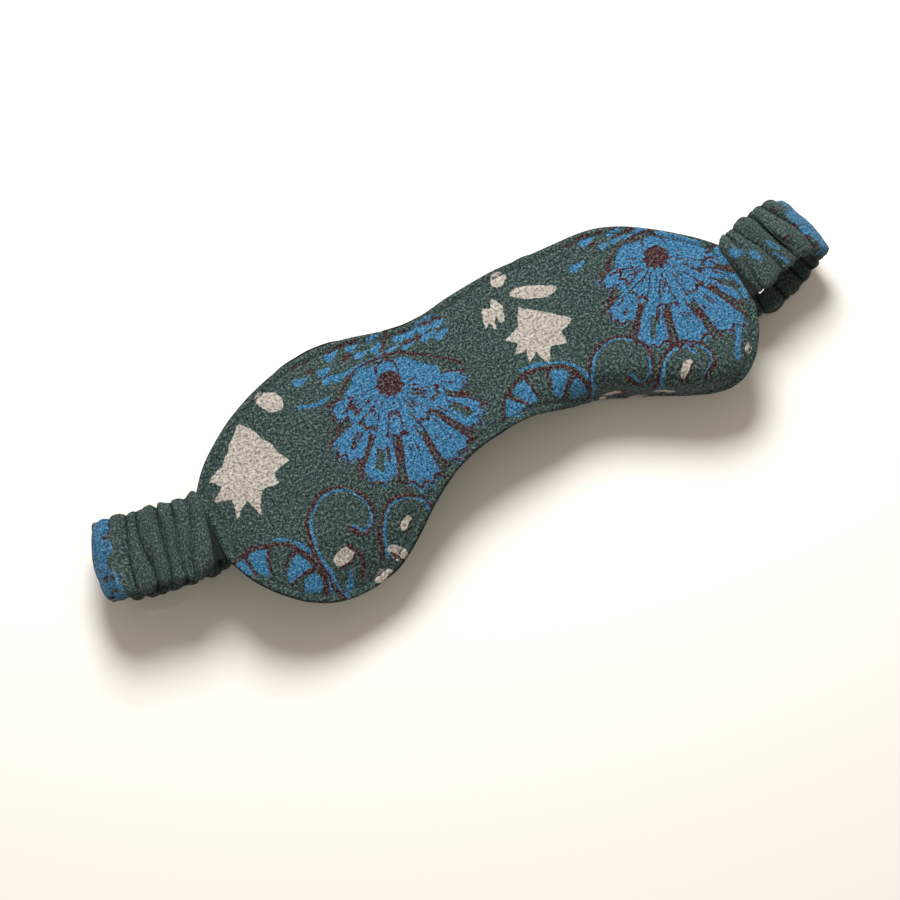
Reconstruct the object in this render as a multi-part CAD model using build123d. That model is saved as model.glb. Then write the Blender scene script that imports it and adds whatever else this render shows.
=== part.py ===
from build123d import *
import os
import numpy as np

# Sleep mask: a soft, thinly padded cotton eye mask that covers both eyes, with a
# gathered fabric-cased elastic strap sewn into its two side seams.
# It lies face up on its own strap: each strap arm runs out from its side seam,
# turns back under in a round bend, and the strap's back run lies on the table
# beneath the mask.
# Frame: +X along the mask from one side seam to the other, +Y towards the
# forehead edge, +Z up (the printed front faces up). Z = 0 is the table under the
# strap's back run; X = Y = 0 is the middle of the whole object's box.

os.makedirs("parts", exist_ok=True)

# ---------------------------------------------------------------- dimensions, mm
half_length = 105.0        # mask centre line to each side seam
mask_dx, mask_dy = 0.8, 0.345   # mask centre in the object's frame (strap is longer on the left)
z_mid = 26.0               # height of the mask's middle surface at the side seams
front_t = 0.5              # printed cotton front
interlining_t = 0.4        # dark light-blocking layer
wadding_t = 1.9            # soft fill
lining_t = 0.5             # plain cotton back
half_t = 1.8               # half of the mask's whole thickness
rim_gap = 0.15             # half the width of the line in which the rim seam runs
seam_inset = 5.5           # turned-in seam allowance round the rim
top_stitch_in = 3.0        # edge topstitch, distance in from the rim
thread_w = 0.6             # width of a lockstitch line, two plies side by side
thread_t = 0.3             # height of the thread above the cloth

strap_w = 31.0             # gathered casing, width along the run
strap_w_seam = 28.0        # width where it is sewn into the side seam
casing_t = 6.0             # gathered casing, whole thickness
elastic_w = 25.0
elastic_t = 1.2
slot_w = 26.6              # hollow inside the casing
slot_t = 1.8
end_tuck = 8.0             # strap end held inside the side seam
end_t = 1.3                # strap end pressed flat
body_gap = 0.35            # clearance between pieces on different bodies

bend_r = 11.5              # middle radius of each bend
bend_z = z_mid - bend_r    # bend centre height
left_yaw, right_yaw = 13.0, 12.0   # how far each arm slants in plan, degrees
left_run, right_run = 26.0, 24.0   # arm length from the seam to the bend's centre
arm_y = -1.0               # where the strap's middle meets the side seam

# ---------------------------------------------------------------- mask outline
# Cloth outline laid flat, mm from the mask's centre: forehead edge and cheek edge.
TOP = [(-105, 12.5), (-101, 17.6), (-94, 24.6), (-85, 31.4), (-75, 36.8), (-64, 41.0), (-54, 43.2), (-43, 43.7),
       (-32, 42.2), (-21, 39.2), (-12, 37.0), (-3, 37.6), (6, 39.1), (16, 40.3), (28, 40.9), (40, 40.2), (52, 39.8),
       (62, 39.4), (70, 37.9), (78, 34.4), (86, 29.3), (94, 23.2), (101, 17.0), (105, 12.5)]
BOTTOM = [(-105, -15), (-102, -22.5), (-98, -29), (-92, -35.6), (-85, -40.8), (-77, -44.0), (-68, -45.2),
          (-59, -44.2), (-50, -40.6), (-42, -35.4), (-34, -29.4), (-26, -24.2), (-18, -20.4), (-9, -17.6),
          (0, -16.3), (10, -15.6), (20, -16.7), (28, -19.6), (36, -24.9), (44, -31.9), (52, -38.4), (60, -42.0),
          (68, -43.5), (76, -42.9), (84, -40.2), (92, -35.2), (98, -28.8), (102, -22.3), (105, -15)]
# How the cheek edge hangs: the angle in degrees that the cloth turns down through,
# where the turn starts, and over what length, along the mask. The left lobe only
# droops; the right lobe's lower strip is folded down steeply.
FOLD = [(-105, 0), (-98, 4), (-85, 14), (-65, 24), (-45, 22), (-25, 12), (-8, 3), (5, 6), (14, 22), (22, 44),
        (31, 68), (40, 88), (52, 98), (66, 99), (76, 90), (84, 70), (92, 36), (100, 8), (105, 0)]
START = [(-105, 0), (-60, -6), (-20, -2), (5, -1), (14, -2.5), (22, -4), (31, -4.5), (40, -6.5), (53, -12.5),
         (66, -19.5), (77, -25), (86, -26), (94, -20), (105, -10)]
WIDTH = [(-105, 34), (-60, 34), (-20, 28), (5, 20), (14, 16), (22, 14), (31, 13.5), (40, 13.5), (54, 14), (66, 14),
         (77, 13.5), (86, 13), (94, 14), (105, 14)]


def curve(pts, x):
    """Smooth cubic through the table's points."""
    p = np.array(pts, float)
    px, py = p[:, 0], p[:, 1]
    h = np.diff(px)
    s = np.diff(py) / h
    m = np.zeros(len(px))
    m[1:-1] = (s[:-1] * h[1:] + s[1:] * h[:-1]) / (h[1:] + h[:-1])
    m[0], m[-1] = s[0], s[-1]
    i = np.clip(np.searchsorted(px, x, side="right") - 1, 0, len(px) - 2)
    t = (x - px[i]) / h[i]
    return ((2 * t**3 - 3 * t**2 + 1) * py[i] + (t**3 - 2 * t**2 + t) * h[i] * m[i]
            + (-2 * t**3 + 3 * t**2) * py[i + 1] + (t**3 - t**2) * h[i] * m[i + 1])


def smooth(t):
    t = np.clip(t, 0, 1)
    return t * t * (3 - 2 * t)


def place(x, flat_y):
    """Flat cloth position -> the middle surface as the mask lies, with its droop and fold."""
    amp = np.radians(curve(FOLD, x))
    y0, w = curve(START, x), curve(WIDTH, x)
    n = 160
    step = (50.0 - flat_y) / n
    y = np.full_like(x, 50.0)
    z = np.zeros_like(x)
    s = np.full_like(x, 50.0)
    for _ in range(n):
        phi = amp * smooth((y0 - (s - step / 2)) / w)
        y = y - np.cos(phi) * step
        z = z - np.sin(phi) * step
        s = s - step
    lift = 1.6 * np.exp(-((x - 58) / 34.0) ** 2) - 1.0 * np.exp(-((x + 50) / 40.0) ** 2)
    fade = 1 - smooth((np.abs(x) - 88) / 14.0)
    return np.stack([x, y, z_mid + z + lift * fade], -1)


def offset_points(x, flat_y, height):
    """Points at a height above the middle surface, along its normal."""
    e = 0.25
    p = place(x, flat_y)
    du = place(x + e, flat_y) - place(x - e, flat_y)
    dv = place(x, flat_y + e) - place(x, flat_y - e)
    n = np.cross(du, dv)
    n /= np.linalg.norm(n, axis=-1, keepdims=True)
    n[..., 0] *= 1 - smooth((np.abs(x) - 92) / 8.0)      # side seams stay square to X
    n /= np.linalg.norm(n, axis=-1, keepdims=True)
    return p + n * height + np.array([mask_dx, mask_dy, 0.0])


def near(edges, ends):
    """The edge that joins two corner points."""
    a, b = (Vector(*p) for p in ends)
    def miss(e):
        p, q = e.position_at(0), e.position_at(1)
        return min((p - a).length + (q - b).length, (p - b).length + (q - a).length)
    return min(edges, key=miss)


def sheet_face(x0, x1, low, high, h, nu, nv):
    """Smooth face through the points at one height, on the first grid that fits them closely."""
    best = None
    for a, b, tol in ((nu, nv, 0.1), (nu + 12, nv + 6, 0.1), (nu + 18, nv + 8, 0.5), (nu, nv, 0.5), (nu + 30, nv + 14, 0.1)):
        k = np.linspace(-1, 1, a)
        xs = (x0 + x1) / 2 + (x1 - x0) / 2 * (0.72 * k + 0.28 * np.sin(k * np.pi / 2))
        v = np.linspace(0, 1, b)
        X = np.repeat(xs[:, None], b, 1)
        P = offset_points(X, low(X) * (1 - v) + high(X) * v, h)
        f = Face.make_surface_from_array_of_points([[tuple(map(float, q)) for q in row] for row in P], tol=tol, min_deg=3, max_deg=3)
        box = f.bounding_box()
        miss = max(np.abs(np.array(tuple(box.min)) - P.reshape(-1, 3).min(0)).max(),
                   np.abs(np.array(tuple(box.max)) - P.reshape(-1, 3).max(0)).max())
        d1, d2 = P[1:, 1:] - P[:-1, :-1], P[:-1, 1:] - P[1:, :-1]
        area = 0.5 * np.linalg.norm(np.cross(d1, d2), axis=-1).sum()
        miss += 20 * abs(f.area / area - 1)
        if best is None or miss < best[0]:
            best = (miss, f, P)
        if miss < 0.2:
            break
    return best[1], best[2], best[0]


def panel(x0, x1, low, high, h0, h1, nu=36, nv=12):
    """One closed sheet of cloth or fill: x from x0 to x1, flat_y from low(x) to high(x),
    heights h0 to h1 above the middle surface."""
    faces, sides = [], []
    for h in (h1, h0):
        f, P, miss = sheet_face(x0, x1, low, high, h, nu, nv)
        if miss > 0.35:
            print("loose fit", x0, x1, h, round(miss, 2))
        faces.append(f)
        c = P[0, 0], P[-1, 0], P[-1, -1], P[0, -1]
        sides.append((f.edges(), [(c[0], c[1]), (c[3], c[2]), (c[0], c[3]), (c[1], c[2])]))
    (et, mt), (eb, mb) = sides
    walls = [Face.make_surface_from_curves(near(et, a), near(eb, b)) for a, b in zip(mt, mb)]
    solid = Solid(Shell(faces + walls))
    if solid.volume < 0:
        solid = Solid(Shell([-f for f in faces + walls]))
    return solid


def top_edge(inset):
    """Forehead edge moved in from the rim, measured square to the rim."""
    def f(x):
        slope = (curve(TOP, np.clip(x + 0.5, -105, 105)) - curve(TOP, np.clip(x - 0.5, -105, 105))) / 1.0
        return curve(TOP, x) - inset * np.sqrt(1 + np.minimum(slope**2, 1.3))
    return f


def bottom_edge(inset):
    def f(x):
        slope = (curve(BOTTOM, np.clip(x + 0.5, -105, 105)) - curve(BOTTOM, np.clip(x - 0.5, -105, 105))) / 1.0
        return curve(BOTTOM, x) + inset * np.sqrt(1 + np.minimum(slope**2, 1.8))
    return f


def level(value):
    return lambda x: np.full_like(x, float(value))


L = half_length
parts = {}

# ---------------------------------------------------------------- mask panels
# Front and lining are sheets of cloth whose raw edges are turned in at the rim. The
# turned-in allowances lie against each other along the rim seam and frame the inner
# layers; at the side seams they close over the strap's two ends.
FULL_LOW, FULL_HIGH = bottom_edge(0), top_edge(0)
inner_x = L - end_tuck             # inner layers and long allowances stop here
in_front, in_lining = half_t - front_t, half_t - lining_t

parts["front_panel"] = [panel(-L, L, FULL_LOW, FULL_HIGH, in_front, half_t)]
parts["back_lining"] = [panel(-L, L, FULL_LOW, FULL_HIGH, -half_t, -in_lining)]


def allowance(h_rim0, h_rim1, h_end0, h_end1):
    """Turned-in edge: along the forehead edge, along the cheek edge, and at both side seams."""
    return [panel(-inner_x, inner_x, bottom_edge(0), bottom_edge(seam_inset), h_rim0, h_rim1, nv=5),
            panel(-inner_x, inner_x, top_edge(seam_inset), top_edge(0), h_rim0, h_rim1, nv=5),
            panel(inner_x + 0.1, L, FULL_LOW, FULL_HIGH, h_end0, h_end1, nu=9),
            panel(-L, -inner_x - 0.1, FULL_LOW, FULL_HIGH, h_end0, h_end1, nu=9)]


parts["front_seam_allowance"] = allowance(rim_gap, in_front, end_t / 2, in_front)
parts["lining_seam_allowance"] = allowance(-in_lining, -rim_gap, -in_lining, -end_t / 2)

# Inner layers: light-blocking interlining against the front, wadding under it.
inner_low, inner_high = bottom_edge(seam_inset + 0.3), top_edge(seam_inset + 0.3)
tuck_x = inner_x - 0.3
top_h = in_front - 0.15
parts["blackout_interlining"] = [panel(-tuck_x, tuck_x, inner_low, inner_high, top_h - interlining_t, top_h)]
parts["wadding"] = [panel(-tuck_x, tuck_x, inner_low, inner_high, -in_lining + 0.15, top_h - interlining_t - 0.15)]


def thread_runs(x_in, inset, h0, h1, w):
    """A stitch line right round the mask, in four runs: both long edges and both side seams."""
    runs = [panel(-x_in, x_in, bottom_edge(inset), bottom_edge(inset + w), h0, h1, nv=4),
            panel(-x_in, x_in, top_edge(inset + w), top_edge(inset), h0, h1, nv=4)]
    for s in (-1, 1):
        a, b = sorted((s * x_in, s * (x_in - w)))
        runs.append(panel(a, b, bottom_edge(inset + w + 0.2), top_edge(inset + w + 0.2), h0, h1, nu=4, nv=10))
    return runs


# Edge topstitch: needle thread on the front, bobbin thread on the lining.
parts["topstitch_needle_thread"] = thread_runs(L - top_stitch_in, top_stitch_in, half_t, half_t + thread_t, thread_w)
parts["topstitch_bobbin_thread"] = thread_runs(L - top_stitch_in, top_stitch_in, -half_t - thread_t, -half_t, thread_w)
# Rim seam: the line that joined front and lining before the mask was turned right
# side out. It stops each side of the strap ends.
parts["rim_seam_thread"] = [panel(-inner_x, inner_x, bottom_edge(0.8), bottom_edge(1.6), -rim_gap, rim_gap, nv=4),
                            panel(-inner_x, inner_x, top_edge(1.6), top_edge(0.8), -rim_gap, rim_gap, nv=4)]


# Strap ends sewn into the side seams: the casing pressed flat into two plies, with
# the elastic's end between them.
def strap_end(side, h0, h1, w, x_in, x_out):
    a, b = sorted((side * x_in, side * x_out))
    return panel(a, b, level(arm_y - w / 2), level(arm_y + w / 2), h0, h1, nu=6, nv=6)


end_elastic_t = 0.7
strap_w_end = 26.6
for s, name in ((-1, "left"), (1, "right")):
    parts[f"casing_end_{name}"] = [strap_end(s, end_elastic_t / 2, end_t / 2, strap_w_end, inner_x + 0.1, L),
                                   strap_end(s, -end_t / 2, -end_elastic_t / 2, strap_w_end, inner_x + 0.1, L)]
    parts[f"elastic_end_{name}"] = [strap_end(s, -end_elastic_t / 2, end_elastic_t / 2, elastic_w, inner_x + 0.1, L)]

# ---------------------------------------------------------------- strap
def strap_frames():
    for s, name, yaw, run in ((-1, "left", left_yaw, left_run), (1, "right", right_yaw, right_run)):
        a = np.radians(yaw)
        direction = np.array([s * np.cos(a), np.sin(a)])
        start = np.array([s * L + mask_dx, arm_y + mask_dy])
        yield s, name, direction, start, start + direction * run


def prism(points, z0, z1):
    return extrude(make_face(Polyline(*[(p[0], p[1], z0) for p in points], close=True)), z1 - z0, dir=(0, 0, 1))


def arm(s, direction, start, end, w0, w1, z0, z1, extra=0.0):
    """Flat stretch from the side seam to the bend, slanting in plan."""
    side = np.array([-direction[1], direction[0]]) * s
    x0 = start[0] + s * (body_gap - extra)
    far = end + direction * extra
    pts = [(x0, start[1] - w0 / 2), (x0, start[1] + w0 / 2), tuple(far + side * w1 / 2), tuple(far - side * w1 / 2)]
    return prism(pts, z0, z1)


def bend(s, direction, end, r0, r1, w, upper):
    """Quarter of the round bend, upper or lower, between radii r0 and r1."""
    cut = 0.2 if upper else -0.2
    ring = Cylinder(r1, w, rotation=(90, 0, 0)) - Cylinder(r0, w + 2, rotation=(90, 0, 0))
    box = Box(2 * r1 + 2, w + 4, 2 * r1, align=(Align.MIN, Align.CENTER, Align.MIN if upper else Align.MAX))
    quarter = ring & (Pos(0, 0, cut) * box)
    angle = np.degrees(np.arctan2(direction[1], direction[0]))
    return Pos(end[0], end[1], bend_z) * Rot(0, 0, angle) * quarter


def run_line(samples=5):
    """Centre line of the back run on the table, from the left bend to the right bend."""
    (_, _, dl, _, el), (_, _, dr, _, er) = list(strap_frames())
    p = np.array([el, [-104.0, 3.6], [-72.0, 8.2], [-36.0, 11.0], [0.0, 11.6], [38.0, 10.6], [74.0, 7.4], [104.0, 3.4], er])
    step = np.linalg.norm(np.diff(p, axis=0), axis=1)
    at = np.concatenate([[0], np.cumsum(step)])
    slope = np.empty_like(p)
    slope[1:-1] = (p[2:] - p[:-2]) / (at[2:] - at[:-2])[:, None]
    slope[0], slope[-1] = -dl, dr
    out = []
    for i in range(len(p) - 1):
        for t in np.arange(samples) / samples:
            h = at[i + 1] - at[i]
            out.append((2 * t**3 - 3 * t**2 + 1) * p[i] + (t**3 - 2 * t**2 + t) * h * slope[i]
                       + (3 * t**2 - 2 * t**3) * p[i + 1] + (t**3 - t**2) * h * slope[i + 1])
    out.append(p[-1])
    return np.array(out), -dl, dr


def back_run(w, z0, z1, extra=0.0):
    mid, tl, tr = run_line()
    tang = np.gradient(mid, axis=0)
    tang[0], tang[-1] = tl, tr
    tang /= np.linalg.norm(tang, axis=1, keepdims=True)
    nrm = np.stack([-tang[:, 1], tang[:, 0]], 1)
    mid[0] -= tl * extra
    mid[-1] += tr * extra
    up, dn = mid + nrm * w / 2, mid - nrm * w / 2
    return prism([*map(tuple, up), *map(tuple, dn[::-1])], z0, z1)


arm_z0, arm_z1 = z_mid - casing_t / 2, z_mid + casing_t / 2
for s, name, direction, start, end in strap_frames():
    # Casing: arm, then the bend's upper and lower quarters.
    shell = arm(s, direction, start, end, strap_w_seam, strap_w, arm_z0, arm_z1)
    hollow = arm(s, direction, start, end, slot_w, slot_w, z_mid - slot_t / 2, z_mid + slot_t / 2, extra=1.0)
    parts[f"casing_{name}_arm"] = shell - hollow
    r0, r1 = bend_r - casing_t / 2, bend_r + casing_t / 2
    for upper in (True, False):
        shell = bend(s, direction, end, r0, r1, strap_w, upper)
        hollow = Cylinder(bend_r + slot_t / 2, slot_w, rotation=(90, 0, 0)) - Cylinder(bend_r - slot_t / 2, slot_w + 2, rotation=(90, 0, 0))
        angle = np.degrees(np.arctan2(direction[1], direction[0]))
        hollow = Pos(end[0], end[1], bend_z) * Rot(0, 0, angle) * hollow
        parts[f"casing_{name}_bend_{'upper' if upper else 'lower'}"] = shell - hollow
    # Elastic inside the arm and the upper quarter.
    band = arm(s, direction, start, end, elastic_w, elastic_w, z_mid - elastic_t / 2, z_mid + elastic_t / 2)
    turn = bend(s, direction, end, bend_r - elastic_t / 2, bend_r + elastic_t / 2, elastic_w, True)
    parts[f"elastic_{name}_arm"] = band + turn

# Back run: casing shell, and one elastic that goes on round both lower quarters.
low_z = bend_z - bend_r
parts["casing_back_run"] = back_run(strap_w, 0.0, casing_t) - back_run(slot_w, low_z - slot_t / 2, low_z + slot_t / 2, extra=1.0)
elastic = back_run(elastic_w, low_z - elastic_t / 2, low_z + elastic_t / 2)
for s, name, direction, start, end in strap_frames():
    elastic = elastic + bend(s, direction, end, bend_r - elastic_t / 2, bend_r + elastic_t / 2, elastic_w, False)
parts["elastic_back_run"] = elastic

# ---------------------------------------------------------------- write
boxes = []
for name, shape in parts.items():
    solids = shape if isinstance(shape, list) else list(shape.solids())
    item = solids[0] if len(solids) == 1 else Compound(children=solids)
    item.label = name
    export_step(item, f"parts/{name}.step")
    b = item.bounding_box()
    boxes.append((b.min, b.max))
    print(f"{name:28s} solids {len(solids)} vol {sum(s.volume for s in solids):9.1f} "
          f"x {b.min.X:7.2f} {b.max.X:7.2f} y {b.min.Y:7.2f} {b.max.Y:7.2f} z {b.min.Z:6.2f} {b.max.Z:6.2f}")
lo = [min(getattr(a, k) for a, _ in boxes) for k in "XYZ"]
hi = [max(getattr(b, k) for _, b in boxes) for k in "XYZ"]
print("box", [round(v, 2) for v in lo], [round(v, 2) for v in hi], "centre", [round((a + b) / 2, 2) for a, b in zip(lo, hi)])
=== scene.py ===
import json
import math
import bpy
import numpy as np
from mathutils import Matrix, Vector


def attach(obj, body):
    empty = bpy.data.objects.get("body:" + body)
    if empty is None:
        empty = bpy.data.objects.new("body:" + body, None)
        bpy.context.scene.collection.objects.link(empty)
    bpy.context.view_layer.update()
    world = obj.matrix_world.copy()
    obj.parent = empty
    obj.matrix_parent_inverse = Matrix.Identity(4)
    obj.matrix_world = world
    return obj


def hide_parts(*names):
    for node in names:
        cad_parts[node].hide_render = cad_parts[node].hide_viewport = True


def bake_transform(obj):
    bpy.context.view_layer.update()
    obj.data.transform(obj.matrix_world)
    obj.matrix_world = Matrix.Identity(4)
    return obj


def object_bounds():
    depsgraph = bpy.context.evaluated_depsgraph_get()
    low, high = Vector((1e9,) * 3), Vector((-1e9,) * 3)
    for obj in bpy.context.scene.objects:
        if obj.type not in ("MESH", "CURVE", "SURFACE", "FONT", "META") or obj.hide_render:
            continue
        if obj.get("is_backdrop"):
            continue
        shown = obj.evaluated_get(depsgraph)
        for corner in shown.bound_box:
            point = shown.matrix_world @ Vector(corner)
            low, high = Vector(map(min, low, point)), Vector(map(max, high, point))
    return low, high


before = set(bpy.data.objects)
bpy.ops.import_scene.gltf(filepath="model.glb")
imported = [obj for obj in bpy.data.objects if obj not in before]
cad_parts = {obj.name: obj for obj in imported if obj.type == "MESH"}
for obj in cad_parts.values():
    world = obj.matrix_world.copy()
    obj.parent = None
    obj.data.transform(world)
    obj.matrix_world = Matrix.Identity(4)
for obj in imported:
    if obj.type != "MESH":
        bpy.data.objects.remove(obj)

cad_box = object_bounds()
MM = 0.001
RNG = np.random.RandomState(7)

# ------------------------------------------------------------------ helpers
def curve(pts, x):
    p = np.array(pts, float)
    px, py = p[:, 0], p[:, 1]
    h = np.diff(px)
    s = np.diff(py) / h
    m = np.zeros(len(px))
    m[1:-1] = (s[:-1] * h[1:] + s[1:] * h[:-1]) / (h[1:] + h[:-1])
    m[0], m[-1] = s[0], s[-1]
    i = np.clip(np.searchsorted(px, x, side="right") - 1, 0, len(px) - 2)
    t = (x - px[i]) / h[i]
    return ((2 * t**3 - 3 * t**2 + 1) * py[i] + (t**3 - 2 * t**2 + t) * h[i] * m[i]
            + (-2 * t**3 + 3 * t**2) * py[i + 1] + (t**3 - t**2) * h[i] * m[i + 1])


def smooth(t):
    t = np.clip(t, 0, 1)
    return t * t * (3 - 2 * t)


def vnoise(x, y, seed=0, scale=1.0):
    """Smooth value noise in -1..1, the same on every run."""
    g = np.random.RandomState(seed).uniform(-1, 1, (64, 64))
    u, v = np.asarray(x) / scale, np.asarray(y) / scale
    iu, iv = np.floor(u).astype(int), np.floor(v).astype(int)
    fu, fv = smooth(u - iu), smooth(v - iv)
    G = lambda a, b: g[a % 64, b % 64]
    return ((G(iu, iv) * (1 - fu) + G(iu + 1, iv) * fu) * (1 - fv) + (G(iu, iv + 1) * (1 - fu) + G(iu + 1, iv + 1) * fu) * fv)


def fbm(x, y, seed, scale, octaves=3):
    out, a = 0, 1.0
    for k in range(octaves):
        out = out + a * vnoise(x, y, seed + 17 * k, scale / 2**k)
        a *= 0.5
    return out


def new_mesh(name, verts, faces, uvs=None, smooth_shade=True):
    me = bpy.data.meshes.new(name)
    me.vertices.add(len(verts))
    me.vertices.foreach_set("co", np.asarray(verts, np.float32).ravel())
    counts = np.array([len(f) for f in faces]) if not isinstance(faces, np.ndarray) else np.full(len(faces), faces.shape[1])
    flat = faces.ravel() if isinstance(faces, np.ndarray) else np.concatenate([np.asarray(f) for f in faces])
    me.loops.add(len(flat))
    me.loops.foreach_set("vertex_index", flat.astype(np.int32))
    me.polygons.add(len(counts))
    starts = np.concatenate([[0], np.cumsum(counts)[:-1]])
    me.polygons.foreach_set("loop_start", starts.astype(np.int32))
    me.polygons.foreach_set("loop_total", counts.astype(np.int32))
    me.update(calc_edges=True)
    me.validate()
    me.polygons.foreach_set("use_smooth", np.full(len(me.polygons), smooth_shade))
    me.update()
    ob = bpy.data.objects.new(name, me)
    bpy.context.scene.collection.objects.link(ob)
    return ob


def put(ob, name, values):
    kind = "FLOAT_VECTOR" if np.ndim(values) == 2 else "FLOAT"
    at = ob.data.attributes.new(name, kind, "POINT")
    at.data.foreach_set("vector" if kind == "FLOAT_VECTOR" else "value", np.asarray(values, np.float32).ravel())


def grid_faces(nu, nv, wrap_v=False):
    i = np.arange(nu - 1)[:, None]
    j = np.arange(nv if wrap_v else nv - 1)[None, :]
    jn = (j + 1) % nv
    return np.stack([(i * nv + j), ((i + 1) * nv + j), ((i + 1) * nv + jn), (i * nv + jn)], -1).reshape(-1, 4)


# ------------------------------------------------------------------ mask shape, mm
DX, DY = 0.8, 0.345
Z_MID = 26.0
HALF = 105.0
TOP = [(-105, 12.5), (-101, 17.6), (-94, 24.6), (-85, 31.4), (-75, 36.8), (-64, 41.0), (-54, 43.2), (-43, 43.7),
       (-32, 42.2), (-21, 39.2), (-12, 37.0), (-3, 37.6), (6, 39.1), (16, 40.3), (28, 40.9), (40, 40.2), (52, 39.8),
       (62, 39.4), (70, 37.9), (78, 34.4), (86, 29.3), (94, 23.2), (101, 17.0), (105, 12.5)]
BOTTOM = [(-105, -15), (-102, -22.5), (-98, -29), (-92, -35.6), (-85, -40.8), (-77, -44.0), (-68, -45.2),
          (-59, -44.2), (-50, -40.6), (-42, -35.4), (-34, -29.4), (-26, -24.2), (-18, -20.4), (-9, -17.6),
          (0, -16.3), (10, -15.6), (20, -16.7), (28, -19.6), (36, -24.9), (44, -31.9), (52, -38.4), (60, -42.0),
          (68, -43.5), (76, -42.9), (84, -40.2), (92, -35.2), (98, -28.8), (102, -22.3), (105, -15)]
FOLD = [(-105, 0), (-98, 4), (-85, 14), (-65, 24), (-45, 22), (-25, 12), (-8, 3), (5, 6), (14, 22), (22, 44),
        (31, 68), (40, 88), (52, 98), (66, 99), (76, 90), (84, 70), (92, 36), (100, 8), (105, 0)]
START = [(-105, 0), (-60, -6), (-20, -2), (5, -1), (14, -2.5), (22, -4), (31, -4.5), (40, -6.5), (53, -12.5),
         (66, -19.5), (77, -25), (86, -26), (94, -20), (105, -10)]
WIDTH = [(-105, 34), (-60, 34), (-20, 28), (5, 20), (14, 16), (22, 14), (31, 13.5), (40, 13.5), (54, 14), (66, 14),
         (77, 13.5), (86, 13), (94, 14), (105, 14)]


def place(x, fy):
    x = np.asarray(x, float)
    fy = np.asarray(fy, float)
    amp = np.radians(curve(FOLD, x))
    y0, w = curve(START, x), curve(WIDTH, x)
    n = 120
    step = (50.0 - fy) / n
    y = np.full(x.shape, 50.0)
    z = np.zeros(x.shape)
    s = np.full(x.shape, 50.0)
    for _ in range(n):
        phi = amp * smooth((y0 - (s - step / 2)) / w)
        y = y - np.cos(phi) * step
        z = z - np.sin(phi) * step
        s = s - step
    lift = 1.6 * np.exp(-((x - 58) / 34.0) ** 2) - 1.0 * np.exp(-((x + 50) / 40.0) ** 2)
    fade = 1 - smooth((np.abs(x) - 88) / 14.0)
    return np.stack([x, y, Z_MID + z + lift * fade], -1)


def with_normals(x, fy):
    e = 0.2
    p = place(x, fy)
    n = np.cross(place(x + e, fy) - place(x - e, fy), place(x, fy + e) - place(x, fy - e))
    n /= np.linalg.norm(n, axis=-1, keepdims=True)
    return p, n


def outline(n=900):
    """Closed rim line in flat cloth coordinates, evenly spaced."""
    xs = np.concatenate([np.linspace(-HALF, HALF, 1600)])
    t = np.stack([xs, curve(TOP, xs)], 1)
    b = np.stack([xs[::-1], curve(BOTTOM, xs[::-1])], 1)
    loop = np.concatenate([t, b, t[:1]])
    d = np.concatenate([[0], np.cumsum(np.linalg.norm(np.diff(loop, axis=0), axis=1))])
    q = np.linspace(0, d[-1], n, endpoint=False)
    return np.stack([np.interp(q, d, loop[:, 0]), np.interp(q, d, loop[:, 1])], 1), d[-1]


def seg_dist(px, py, pts, closed=False):
    """Distance to a polyline, and how far along it the nearest point lies."""
    pts = np.asarray(pts, float)
    if closed:
        pts = np.concatenate([pts, pts[:1]])
    best = np.full(px.shape, 1e9)
    along = np.zeros(px.shape)
    run = 0.0
    for a, b in zip(pts[:-1], pts[1:]):
        ab = b - a
        L2 = float(ab @ ab) + 1e-12
        t = np.clip(((px - a[0]) * ab[0] + (py - a[1]) * ab[1]) / L2, 0, 1)
        d = np.hypot(px - a[0] - t * ab[0], py - a[1] - t * ab[1])
        k = d < best
        best = np.where(k, d, best)
        along = np.where(k, run + t * math.sqrt(L2), along)
        run += math.sqrt(L2)
    return best, along, run


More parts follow.
